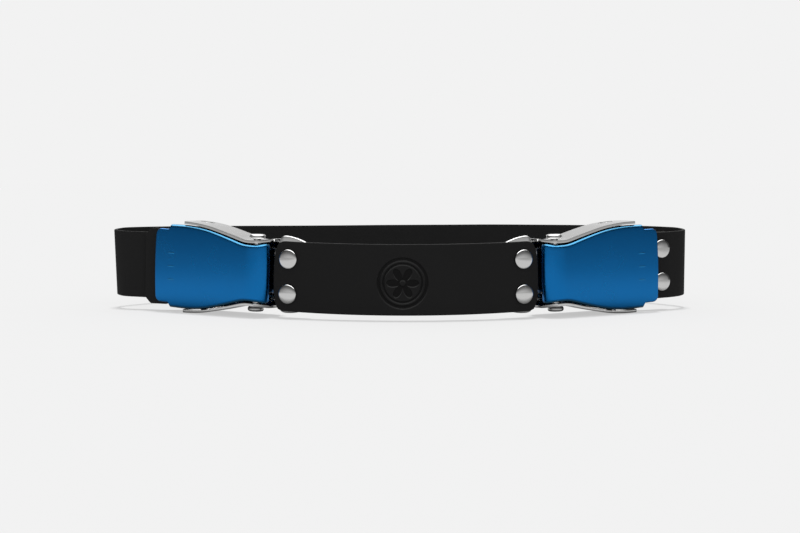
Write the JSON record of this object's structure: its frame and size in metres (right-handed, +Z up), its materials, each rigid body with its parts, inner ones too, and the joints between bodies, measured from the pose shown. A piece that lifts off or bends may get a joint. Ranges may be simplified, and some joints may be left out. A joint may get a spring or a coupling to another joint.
{
  "type": "double buckle belt",
  "caption": "Wide leather belt with a curved front panel held between lift-lever buckles, standing fastened as a loop.",
  "frame": {"origin": "middle of the bounding box on the floor", "axes": "+X across the wearer's front, +Y from the front panel to the back of the loop, +Z up"},
  "size_m": [0.423, 0.1872, 0.0653],
  "materials": {
    "black_leather": "smooth matte black with finished edges",
    "polished_steel": "polished",
    "blue_anodised": "satin blue anodised"
  },
  "bodies": {
    "belt": {"back_strap": "black_leather", "buckle_frame_left": "polished_steel", "buckle_frame_right": "polished_steel", "front_panel": "black_leather", "hinge_pin_left": "polished_steel", "hinge_pin_right": "polished_steel", "link_left": "polished_steel", "link_right": "polished_steel", "panel_rivet_left_lower": "polished_steel", "panel_rivet_left_upper": "polished_steel", "panel_rivet_right_lower": "polished_steel", "panel_rivet_right_upper": "polished_steel", "strap_bar_left": "polished_steel", "strap_bar_right": "polished_steel", "strap_rivet_lower": "polished_steel", "strap_rivet_upper": "polished_steel"},
    "lever_left": {"lever_left": "blue_anodised"},
    "lever_right": {"lever_right": "blue_anodised"}
  },
  "joints": [
    {"name": "left_lever_hinge", "type": "hinge", "parent": "belt", "child": "lever_left", "pos_m": [-0.09895, -0.06667, 0.03056], "axis": [0.0349, -0.0128, 0.9993], "range_deg": [0, 75], "stiffness_Nm_per_rad": 0.02, "springref_deg": -11.46},
    {"name": "right_lever_hinge", "type": "hinge", "parent": "belt", "child": "lever_right", "pos_m": [0.10745, -0.06667, 0.03056], "axis": [0.0327, 0.0116, -0.9994], "range_deg": [0, 75], "stiffness_Nm_per_rad": 0.02, "springref_deg": -11.46}
  ]
}
